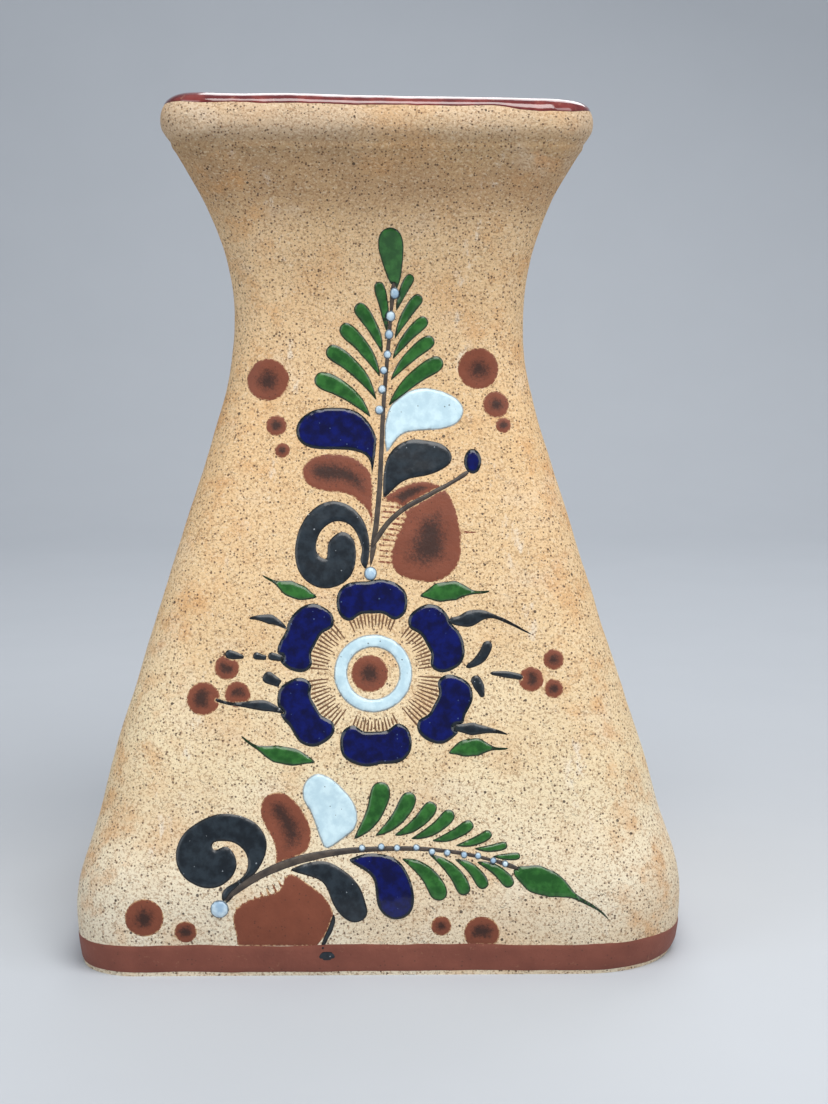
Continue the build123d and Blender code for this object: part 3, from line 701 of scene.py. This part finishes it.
def between(low, high, share):
    """A function of the plan angle that gives a height part of the way from one to another."""
    return lambda angle: low(angle) + (high(angle) - low(angle)) * share


def build_rings(name, node, rings, material, closed):
    """Skins a list of rings. closed joins the last ring to the first; otherwise both ends are capped."""
    columns = len(rings[0])
    faces = grid_faces(len(rings), columns, wrap=True)
    last = (len(rings) - 1) * columns
    if closed:
        faces += [(last + j, last + (j + 1) % columns, (j + 1) % columns, j) for j in range(columns)]
    else:
        faces.append(tuple(range(columns))[::-1])
        faces.append(tuple(range(last, last + columns)))
    make_piece(name, np.concatenate(rings), faces, material, node)


BAND_COLUMNS = 720
BAND_LIFT = 0.22
BAND_EDGE_LIFT = 0.05
BAND_SHARES = np.linspace(0.08, 0.92, 7)

# The hidden side of the band, the rim's glaze and the enamel lies this far inside the clay, so that no gap
# shows under it.
SUNK = 0.35


def build_foot_band():
    """The slip band: a thin skin with wavering edges that dive into the clay."""
    low = ragged(BAND_LOW, swing=0.35, bumps=5.0, seed=3.0)
    high = ragged(BAND_HIGH, swing=0.75, bumps=4.0, seed=9.0)
    rings = [wall_ring(BAND_COLUMNS, low, lift=-SUNK), wall_ring(BAND_COLUMNS, low, lift=BAND_EDGE_LIFT)]
    rings += [wall_ring(BAND_COLUMNS, between(low, high, share), lift=BAND_LIFT) for share in BAND_SHARES]
    rings += [wall_ring(BAND_COLUMNS, high, lift=BAND_EDGE_LIFT), wall_ring(BAND_COLUMNS, high, lift=-SUNK)]
    build_rings("foot_band_slip", "foot_band", rings, MATERIALS["band_slip"], closed=True)


# The floor slab and the glaze inside the vase, in millimetres. The rings across the floor shrink to these
# shares of its size.
INSIDE_COLUMNS = 160
FLOOR_SHARES = [0.02, 0.35, 0.7, 0.97]
FLOOR_UNDERSIDE = 0.25
FLOOR_EDGE_HEIGHTS = (0.4, 3.0, FLOOR_Z - 0.3)
LINER_THICK = 0.5
LINER_SUNK = 0.1
LINER_HEIGHTS = np.linspace(FLOOR_Z + 0.8, THROAT_Z, 60)


def inner_ring(z, depth, share=1.0):
    """A ring inside the vase, shrunk towards the axis to a share of its size."""
    ring = wall_ring(INSIDE_COLUMNS, z, depth, rough=0.0)
    ring[:, :2] *= share
    return ring


def build_floor():
    """The floor slab, from the middle of its underside out, up its edge and back to the middle."""
    rings = [inner_ring(FLOOR_UNDERSIDE, WALL, share) for share in FLOOR_SHARES]
    rings += [inner_ring(z, WALL) for z in FLOOR_EDGE_HEIGHTS]
    rings += [inner_ring(FLOOR_Z, WALL, share) for share in FLOOR_SHARES[::-1]]
    build_rings("floor_slab_clay", "floor_slab", rings, MATERIALS["lip_clay"], closed=False)


def build_liner():
    """The glaze over the floor and up the inside, as a cup: its outside first, then its inside."""
    hidden, shown = WALL - LINER_SUNK, WALL + LINER_THICK
    rings = [inner_ring(FLOOR_Z, hidden, share) for share in FLOOR_SHARES]
    rings += [inner_ring(z, hidden) for z in LINER_HEIGHTS]
    rings += [inner_ring(z, shown) for z in LINER_HEIGHTS[::-1]]
    rings += [inner_ring(FLOOR_Z + LINER_THICK, shown, share) for share in FLOOR_SHARES[::-1]]
    build_rings("liner_glaze_coat", "liner_glaze", rings, MATERIALS["clear_glaze"], closed=False)


# ---- Lip ------------------------------------------------------------------------------------------------
LIP_PATH_HALF = float(half_width(THROAT_Z)) - WALL / 2
LIP_PATH_CORNER = THROAT_CORNER - WALL / 2
LIP_COLUMNS = 640
LIP_ROWS = 56
LIP_POINTS = LIP_ROWS * 8

# The coil's outline, anticlockwise from its seat: distance out from the middle of the wall, and height.
LIP_OUTLINE = [
    (1.2, 246.6),
    (2.4, 248.0),
    (3.4, 249.4),
    (3.8, 251.0),
    (5.0, 252.6),
    (6.5, 255.4),
    (6.6, 259.4),
    (5.2, 262.6),
    (3.0, 264.2),
    (0.4, 264.7),
    (-2.6, 264.0),
    (-4.6, 261.2),
    (-5.1, 257.0),
    (-4.4, 252.0),
    (-3.2, 248.0),
    (-1.4, 246.4),
]


CURVE_STEPS = 24


def catmull_rom(a, b, c, d, u):
    """The point at share u of the way from b to c on a curve that also heeds a before and d after."""
    square = 2 * a - 5 * b + 4 * c - d
    cube = 3 * b - a - 3 * c + d
    return 0.5 * (2 * b + (c - a) * u + square * u**2 + cube * u**3)


def smooth_loop(points, count):
    """Evenly spread points and outward normals on a closed Catmull-Rom curve."""
    corners = np.array(points)
    fine = []
    for i in range(len(corners)):
        four = [corners[(i + k) % len(corners)] for k in (-1, 0, 1, 2)]
        fine += [catmull_rom(*four, u) for u in np.linspace(0, 1, CURVE_STEPS, endpoint=False)]
    fine = np.array(fine + [fine[0]])
    along = np.concatenate([[0], np.cumsum(np.linalg.norm(np.diff(fine, axis=0), axis=1))])
    at = np.linspace(0, along[-1], count, endpoint=False)
    loop = np.stack([np.interp(at, along, fine[:, k]) for k in (0, 1)], 1)
    way = np.roll(loop, -1, 0) - np.roll(loop, 1, 0)
    normal = np.stack([way[:, 1], -way[:, 0]], 1)
    return loop, normal / np.linalg.norm(normal, axis=1)[:, None]


LIP_LOOP, LIP_NORMALS = smooth_loop(LIP_OUTLINE, LIP_POINTS)
LIP_STOPS = np.arange(LIP_POINTS + 1) / LIP_POINTS

# Along the outline and back to its start: distance out, height, and the normal's two parts.
LIP_CURVES = np.vstack([np.hstack([LIP_LOOP, LIP_NORMALS]), np.hstack([LIP_LOOP[:1], LIP_NORMALS[:1]])]).T


def lip_ring(where, lift):
    """A ring round the mouth at a share of the lip's outline. where is one share, or four sides' shares."""
    rows = []
    for side, t in ring_places(LIP_COLUMNS):
        share = where[side] if isinstance(where, list) else np.full_like(t, where)
        out, z, normal_out, normal_up = (np.interp(share, LIP_STOPS, curve) for curve in LIP_CURVES)
        half, radius = LIP_PATH_HALF + out, LIP_PATH_CORNER + out
        (x, y), (nx, ny), _ = side_point(side, t, half, radius, radius)
        normals = np.stack([nx * normal_out, ny * normal_out, normal_up], 1)
        rows.append(shifted(np.stack([x, y, z], 1), normals, lift))
    return np.concatenate(rows)


def build_lip():
    """The rolled lip: a closed coil of clay round the mouth."""
    rings = [lip_ring(i / LIP_ROWS, lift=0.0) for i in range(LIP_ROWS)]
    build_rings("lip_coil_clay", "lip_coil", rings, MATERIALS["lip_clay"], closed=True)


RIM_EDGE_Z = 261.9
RIM_INSIDE_Z = 251.0
RIM_LIFT = 0.32
RIM_EDGE_LIFT = 0.04

# The glaze swells from this share of its full lift just inside its edge, at this rate along its width.
RIM_SWELL_FROM = 0.35
RIM_SWELL_RATE = 16

# Where the rings lie across the glaze, out and back: the shown side, then the side hidden in the clay.
RIM_SHOWN_STEPS = np.concatenate([[0.0, 0.004], np.linspace(0.04, 0.985, 24), [1.0]])
RIM_HIDDEN_STEPS = (0.985, 0.75, 0.5, 0.25, 0.01)

# A lobe of glaze hangs this much lower near the front's right corner: depth, plan angle and reach.
RIM_LOBE = 1.3
RIM_LOBE_ANGLE = math.pi / 2 - 0.12
RIM_LOBE_REACH = 0.16


def rim_lift(step):
    """Thickness of the glaze at a share of the way across it."""
    if step in (RIM_SHOWN_STEPS[0], RIM_SHOWN_STEPS[-1]):
        return RIM_EDGE_LIFT
    return RIM_LIFT * min(1.0, RIM_SWELL_FROM + step * RIM_SWELL_RATE)


def build_rim_glaze():
    """Glaze over the crown of the lip. Its outside edge wavers, and hangs lower at the front's right."""
    crest = LIP_LOOP[:, 1].argmax()
    outer_heights = LIP_LOOP[:crest, 1]
    inner_heights = LIP_LOOP[crest:, 1]
    stop = (crest + int((inner_heights > RIM_INSIDE_Z).sum())) / LIP_POINTS
    waver = ragged(RIM_EDGE_Z, swing=0.45, bumps=6.0, seed=5.0)
    starts = []
    for side, t in ring_places(LIP_COLUMNS):
        angle = (side + t) * math.pi / 2
        lobe = RIM_LOBE * np.exp(-(((angle - RIM_LOBE_ANGLE) / RIM_LOBE_REACH) ** 2))
        starts.append(np.interp(waver(angle) - lobe, outer_heights, np.arange(crest)) / LIP_POINTS)

    def ring(step, lift):
        return lip_ring([start + (stop - start) * step for start in starts], lift)

    rings = [ring(step, rim_lift(step)) for step in RIM_SHOWN_STEPS]
    rings += [ring(step, -SUNK) for step in RIM_HIDDEN_STEPS]
    build_rings("rim_glaze_coat", "rim_glaze", rings, MATERIALS["maroon_glaze"], closed=True)


# ---- Enamel marks ---------------------------------------------------------------------------------------
# Only marks whose middle is this far from their edge, in millimetres, have a core. The front's lower
# heart-shaped leaf has none.
CORE_LEAST = 1.2
PLAIN_NODES = ("front_lower_heart_leaf",)

# Height and edge width of each paint's dome, in millimetres.
DOMES = {
    "rust_slip": (0.13, 0.5),
    "charcoal_enamel": (0.38, 0.9),
    "cobalt_enamel": (0.55, 1.2),
    "white_enamel": (0.55, 1.1),
    "green_enamel": (0.50, 1.1),
    "umber_line": (0.26, 0.6),
    "pearl_enamel": (0.85, 1.3),
}
DOME_EDGE_LIFT = 0.02

# Nodes painted with another material than that of their slot.
OWN_PAINT = {"front_flower_fringe": "fringe_brown"}

# A mark's depth is how far its middle is from its edge. A shallow one has a lower dome: this share of the
# full height, plus this share for each millimetre of depth.
NARROW_DOME = 0.35
DOME_GROWTH = 0.5
LEAST_DEPTH = 0.2

# Outlines are taken from the faces turned at least this much towards the viewer.
FACING_LEAST = 0.6
WELD = 0.002
SMALLEST_AREA = 0.05

# The brush's unsteadiness: how far, over what length, and where in the noise each direction is read.
SHAKE = 0.09
SHAKE_LENGTH = 3.0
SHAKE_PLACES = (7, 31)
OUTLINE_STEP = 0.7

# A first grid of this spacing finds a mark's depth. The final points stand about half that depth apart,
# within two bounds, in rows this share of the spacing apart and this share of it clear of the outlines.
DEPTH_PROBE = 0.5
FINEST, COARSEST = 0.3, 0.8
ROW_SHARE = 0.87
CLEAR_SHARE = 0.45

# The triangulation's settings: leave holes open, and merge points closer than this.
INSIDE_WITH_HOLES = 2
MERGE_WITHIN = 1e-5


def outlines(node, facing):
    """Closed outlines of a node's marks, as seen square on: x to the right and z up. Holes run clockwise."""
    work = bmesh.new()
    work.from_mesh(frame["nodes"][node].data)
    bmesh.ops.remove_doubles(work, verts=work.verts, dist=WELD * MM)
    ahead = set()
    for face in work.faces:
        if face.normal.y * facing < -FACING_LEAST:
            for a, b in zip(face.verts, list(face.verts[1:]) + [face.verts[0]]):
                ahead.add((a.index, b.index))
    after = {}
    for a, b in ahead:
        if (b, a) not in ahead:
            after.setdefault(a, []).append(b)
    work.verts.ensure_lookup_table()
    place = {v.index: (v.co.x / MM * facing, v.co.z / MM) for v in work.verts}
    work.free()
    loops = []
    while after:
        start = min(after)
        loop, here = [], start
        while here in after:
            loop.append(here)
            following = after[here].pop()
            if not after[here]:
                del after[here]
            here = following
            if here == start:
                break
        if len(loop) > 2:
            loops.append(np.array([place[i] for i in loop]))
    return loops


def area(loop):
    """A loop's area, negative when it runs clockwise."""
    x, z = loop.T
    return 0.5 * float(np.sum(x * np.roll(z, -1) - np.roll(x, -1) * z))


def inside(points, loop):
    """Which points lie inside a loop."""
    hit = np.zeros(len(points), bool)
    x, z = points.T
    for (x0, z0), (x1, z1) in zip(loop, np.roll(loop, -1, 0)):
        if z0 != z1:
            hit ^= ((z0 > z) != (z1 > z)) & (x < (x1 - x0) * (z - z0) / (z1 - z0) + x0)
    return hit


def distance(points, loops):
    """Distance from each point to the nearest outline."""
    best = np.full(len(points), 1e9)
    for loop in loops:
        ends = np.roll(loop, -1, 0)
        for a, b in zip(loop, ends):
            way = b - a
            share = np.clip(((points - a) @ way) / max(float(way @ way), 1e-9), 0, 1)
            best = np.minimum(best, np.linalg.norm(points - a - share[:, None] * way, axis=1))
    return best


def softened_outline(loop):
    """The outline with long edges divided, corners eased and a slight unsteadiness of the brush."""
    ends = np.roll(loop, -1, 0)
    points = []
    for a, b in zip(loop, ends):
        count = max(1, int(np.linalg.norm(b - a) / OUTLINE_STEP))
        points += [a + (b - a) * k / count for k in range(count)]
    points = np.array(points)
    eased = points * 0.5 + (np.roll(points, 1, 0) + np.roll(points, -1, 0)) * 0.25
    flat = np.column_stack([eased, np.zeros(len(eased))])
    shake = np.stack([noise_at(flat + place, SHAKE_LENGTH) for place in SHAKE_PLACES], 1)
    return eased + SHAKE * shake


def grid_inside(loops, spacing):
    """A triangular grid of points inside a mark and clear of its outlines."""
    low, high = loops[0].min(0), loops[0].max(0)
    points = []
    for row, z in enumerate(np.arange(low[1], high[1], spacing * ROW_SHARE)):
        xs = np.arange(low[0] + (row % 2) * spacing / 2, high[0], spacing)
        points += [(x, z) for x in xs]
    if not points:
        return np.zeros((0, 2))
    points = np.array(points)
    keep = inside(points, loops[0])
    for hole in loops[1:]:
        keep &= ~inside(points, hole)
    points = points[keep]
    return points[distance(points, loops) > spacing * CLEAR_SHARE] if len(points) else points


# Seen square on, a mark can reach this share of the way round a corner's radius.
FARTHEST_ROUND = 0.98


def on_front(x, z, facing, lift):
    """Points lying lift above the clay of the front (or back), from where they are seen square on."""
    half = half_width(z)
    left, right = corner(0, z), corner(1, z)
    past_left, past_right = left - half - x, x - half + right
    over = np.maximum(np.maximum(past_left, past_right), 0.0)
    radius = np.where(past_left > 0, left, right)
    over = np.minimum(over, radius * FARTHEST_ROUND)
    drop = np.sqrt(radius**2 - over**2)
    y = -(half - radius + drop)
    nx = np.where(past_left > 0, -over, over) / radius
    points = np.stack([x * facing, y * facing, z], 1)
    normals = np.stack([nx * facing, -drop / radius * facing, -slope_at(z)], 1)
    return shifted(points, normals, lift)


def triangulated(loops, extra):
    """Points and triangles filling the first loop, less its holes. extra are points inside."""
    flat = np.concatenate([*loops, extra])
    rings, start = [], 0
    for loop in loops:
        rings.append(list(range(start, start + len(loop))))
        start += len(loop)
    result = delaunay_2d_cdt([Vector(p) for p in flat], [], rings, INSIDE_WITH_HOLES, MERGE_WITHIN)
    places = np.array([tuple(v) for v in result[0]])
    faces = [tuple(f) for f in result[2]]
    used = sorted({i for f in faces for i in f})
    renumber = {old: new for new, old in enumerate(used)}
    return places[used], [tuple(renumber[i] for i in f) for f in faces]


def build_mark(loops, facing, dome):
    """One brush mark as a closed domed skin. Returns points, faces, distances to the edge and core values."""
    loops = [softened_outline(loop) for loop in loops]
    probe = grid_inside(loops, DEPTH_PROBE)
    deepest = float(distance(probe, loops).max()) if len(probe) else DEPTH_PROBE / 2
    spacing = float(np.clip(0.5 * deepest, FINEST, COARSEST))
    flat, faces = triangulated(loops, grid_inside(loops, spacing))
    edge = distance(flat, loops)
    tall, wide = dome
    wide = min(wide, max(deepest, LEAST_DEPTH))
    tall = tall * min(1.0, NARROW_DOME + DOME_GROWTH * deepest)
    rise = np.sqrt(1 - (1 - np.clip(edge / wide, 0, 1)) ** 2)
    count = len(flat)
    top = on_front(flat[:, 0], flat[:, 1], facing, tall * rise + DOME_EDGE_LIFT)
    base = on_front(flat[:, 0], flat[:, 1], facing, np.full(count, -SUNK))
    directed = {(f[i], f[(i + 1) % len(f)]) for f in faces for i in range(len(f))}
    rim = [(b, a, a + count, b + count) for a, b in directed if (b, a) not in directed]
    under = [tuple(i + count for i in reversed(f)) for f in faces]
    core = np.clip(edge / deepest, 0, 1) if deepest >= CORE_LEAST else np.zeros(count)
    return np.concatenate([top, base]), faces + under + sorted(rim), np.tile(edge, 2), np.tile(core, 2)


def build_enamel(node):
    """Every mark of one CAD node, joined into one piece."""
    facing = 1 if node.startswith("front") else -1
    loops = outlines(node, facing)
    holes = [loop for loop in loops if area(loop) < -SMALLEST_AREA]
    points, faces, edges, cores, start = [], [], [], [], 0
    for loop in loops:
        if area(loop) <= SMALLEST_AREA:
            continue
        own = [hole for hole in holes if inside(hole[:1], loop)[0]]
        mark_points, mark_faces, edge, core = build_mark([loop, *own], facing, DOMES[SLOTS[node]])
        points.append(mark_points)
        faces += [tuple(i + start for i in f) for f in mark_faces]
        edges.append(edge)
        cores.append(core * (node not in PLAIN_NODES))
        start += len(mark_points)
    values = {"edge_mm": np.concatenate(edges), "core": np.concatenate(cores)}
    paint = MATERIALS[OWN_PAINT.get(node, SLOTS[node])]
    make_piece(node + "_paint", np.concatenate(points), faces, paint, node, values)


# ---- Build the vase -------------------------------------------------------------------------------------
for wall_side, wall_name in enumerate(("front_wall", "right_wall", "back_wall", "left_wall")):
    build_wall(wall_name, wall_side)
build_lip()
build_rim_glaze()
build_foot_band()
build_floor()
build_liner()
for node_name in sorted(SLOTS):
    if SLOTS[node_name] in DOMES:
        build_enamel(node_name)


# ---- Stage, light and camera ----------------------------------------------------------------------------
# The paper: a floor from in front of the vase to the start of its bend, then up to its top, in metres.
STAGE_FRONT = -1.6
STAGE_BEND_START = 0.9
STAGE_BEND_RADIUS = 0.5
STAGE_BEND_ANGLES = np.linspace(0.1, math.pi / 2, 14)
STAGE_TOP = 2.6
STAGE_HALF_WIDTH = 3.0
PAPER_DARK = (0.50, 0.53, 0.57)
PAPER_LIGHT = (0.52, 0.55, 0.59)


def build_stage():
    """A pale floor that sweeps up into a plain backdrop."""
    s = Shader("stage_paper")
    color = s.mix(s.noise(60.0, detail=2.0), PAPER_DARK, PAPER_LIGHT)
    paper = s.finish(color, roughness=0.75, specular=0.2)
    profile = [(STAGE_FRONT, 0.0), (STAGE_BEND_START, 0.0)]
    for angle in STAGE_BEND_ANGLES:
        back = STAGE_BEND_START + STAGE_BEND_RADIUS * math.sin(angle)
        profile.append((back, STAGE_BEND_RADIUS * (1 - math.cos(angle))))
    profile.append((STAGE_BEND_START + STAGE_BEND_RADIUS, STAGE_TOP))
    points = [(x, y, z) for y, z in profile for x in (-STAGE_HALF_WIDTH, STAGE_HALF_WIDTH)]
    faces = [(2 * i, 2 * i + 1, 2 * i + 3, 2 * i + 2) for i in range(len(profile) - 1)]
    mesh = bpy.data.meshes.new("stage_floor")
    mesh.from_pydata(points, [], faces)
    mesh.polygons.foreach_set("use_smooth", [True] * len(faces))
    mesh.materials.append(paper)
    floor = bpy.data.objects.new("stage_floor", mesh)
    bpy.context.collection.objects.link(floor)


# Each softbox: place in metres, side length, power in watts and colour. All are aimed at the vase's middle.
SOFTBOXES = {
    "overhead": ((0.15, -0.55, 1.15), 0.8, 12.5, (1.0, 0.98, 0.95)),
    "left_fill": ((-1.0, -0.8, 0.6), 0.9, 5.0, (0.95, 0.98, 1.0)),
    "right_fill": ((1.0, -0.6, 0.7), 0.8, 5.0, (1.0, 1.0, 1.0)),
    "back": ((0.2, 0.9, 1.0), 0.8, 5.0, (1.0, 1.0, 1.0)),
}
AIM = (0, 0, 0.12)
SKY_COLOR = (0.80, 0.86, 0.95, 1)
SKY_STRENGTH = 0.32


def light_stage():
    """A dim, slightly blue sky and the softboxes."""
    world = bpy.data.worlds.new("studio")
    world.use_nodes = True
    sky = world.node_tree.nodes["Background"]
    sky.inputs["Color"].default_value = SKY_COLOR
    sky.inputs["Strength"].default_value = SKY_STRENGTH
    bpy.context.scene.world = world
    for name, (place, size, power, color) in SOFTBOXES.items():
        light = bpy.data.lights.new(name, "AREA")
        light.size = size
        light.energy = power
        light.color = color
        lamp = bpy.data.objects.new(name, light)
        lamp.location = place
        lamp.rotation_euler = (Vector(AIM) - Vector(place)).to_track_quat("-Z", "Y").to_euler()
        bpy.context.collection.objects.link(lamp)


CAMERA_PLACE = (0, -0.700, 0.215)
CAMERA_DOWN = math.radians(7.976)
CAMERA_RIGHT = math.radians(0.978)
CAMERA_LENS = 67.8
CAMERA_SENSOR = 36.0


def place_camera():
    """The camera stands in front, level with the neck, and looks slightly down and to the right."""
    camera = bpy.data.cameras.new("photo_camera")
    camera.sensor_fit = "VERTICAL"
    camera.sensor_height = CAMERA_SENSOR
    camera.lens = CAMERA_LENS
    holder = bpy.data.objects.new("photo_camera", camera)
    holder.location = CAMERA_PLACE
    holder.rotation_euler = (math.pi / 2 - CAMERA_DOWN, 0, -CAMERA_RIGHT)
    bpy.context.collection.objects.link(holder)
    bpy.context.scene.camera = holder
    bpy.context.scene.view_settings.view_transform = "Standard"


build_stage()
light_stage()
place_camera()
